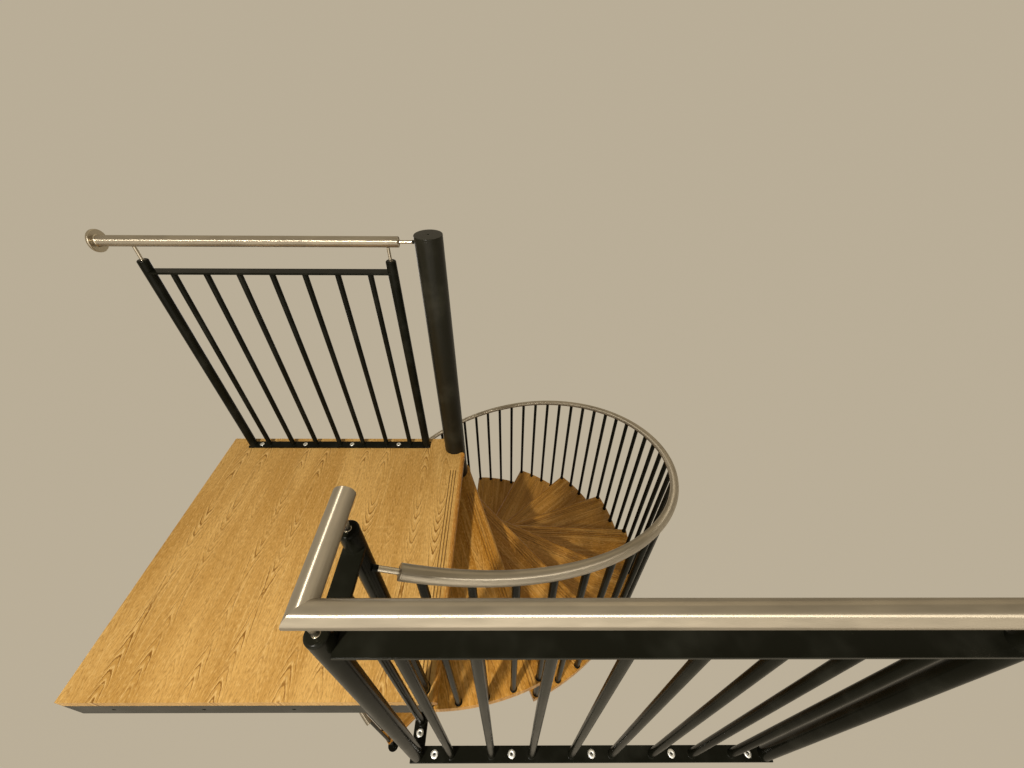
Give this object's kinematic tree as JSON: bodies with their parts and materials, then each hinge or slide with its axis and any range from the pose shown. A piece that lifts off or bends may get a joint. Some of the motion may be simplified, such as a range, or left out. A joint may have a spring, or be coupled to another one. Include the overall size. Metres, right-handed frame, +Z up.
{
  "type": "spiral staircase",
  "caption": "Spiral stair on a round steel column: timber wedge treads, square timber landing, black balusters, brushed spiral handrail and two guard rails.",
  "frame": {"origin": "centre of the column's base plate, on its underside, at the lower floor", "axes": "+Z up along the column; +X to the right and +Y away for someone who stands on the upper floor and looks over the guard rail; the landing lies at -X and -Y"},
  "size_m": [2.341, 2.2927, 4.238],
  "materials": {
    "black_paint": "semi-gloss black paint",
    "tread_oak": "satin oiled oak, mid brown",
    "landing_oak": "satin lacquered oak, golden",
    "brushed_rail": "brushed stainless steel, warm grey",
    "bright_pin": "satin stainless steel"
  },
  "bodies": {
    "root": {"base_plate": "black_paint", "core_tube": "black_paint", "spacer_sleeves": "black_paint", "column": "black_paint", "column_cap": "black_paint", "tread_01": "tread_oak", "tread_02": "tread_oak", "tread_03": "tread_oak", "tread_04": "tread_oak", "tread_05": "tread_oak", "tread_06": "tread_oak", "tread_07": "tread_oak", "tread_08": "tread_oak", "tread_09": "tread_oak", "tread_10": "tread_oak", "tread_11": "tread_oak", "tread_12": "tread_oak", "tread_13": "tread_oak", "tread_14": "tread_oak", "balusters_01": "black_paint", "balusters_02": "black_paint", "balusters_03": "black_paint", "balusters_04": "black_paint", "balusters_05": "black_paint", "balusters_06": "black_paint", "balusters_07": "black_paint", "balusters_08": "black_paint", "balusters_09": "black_paint", "balusters_10": "black_paint", "balusters_11": "black_paint", "balusters_12": "black_paint", "balusters_13": "black_paint", "balusters_14": "black_paint", "corner_struts": "black_paint", "spiral_handrail": "brushed_rail", "landing_board": "landing_oak", "landing_bearers": "black_paint", "wall_plate": "black_paint", "floor_plate": "black_paint", "back_guard": "black_paint", "back_rail": "brushed_rail", "front_guard": "black_paint", "return_guard": "black_paint", "return_end_post": "black_paint", "front_rail": "brushed_rail", "return_rail": "brushed_rail", "wall_flanges": "brushed_rail", "rail_plugs": "brushed_rail", "rail_pins": "bright_pin", "post_caps": "black_paint"}
  },
  "joints": []
}
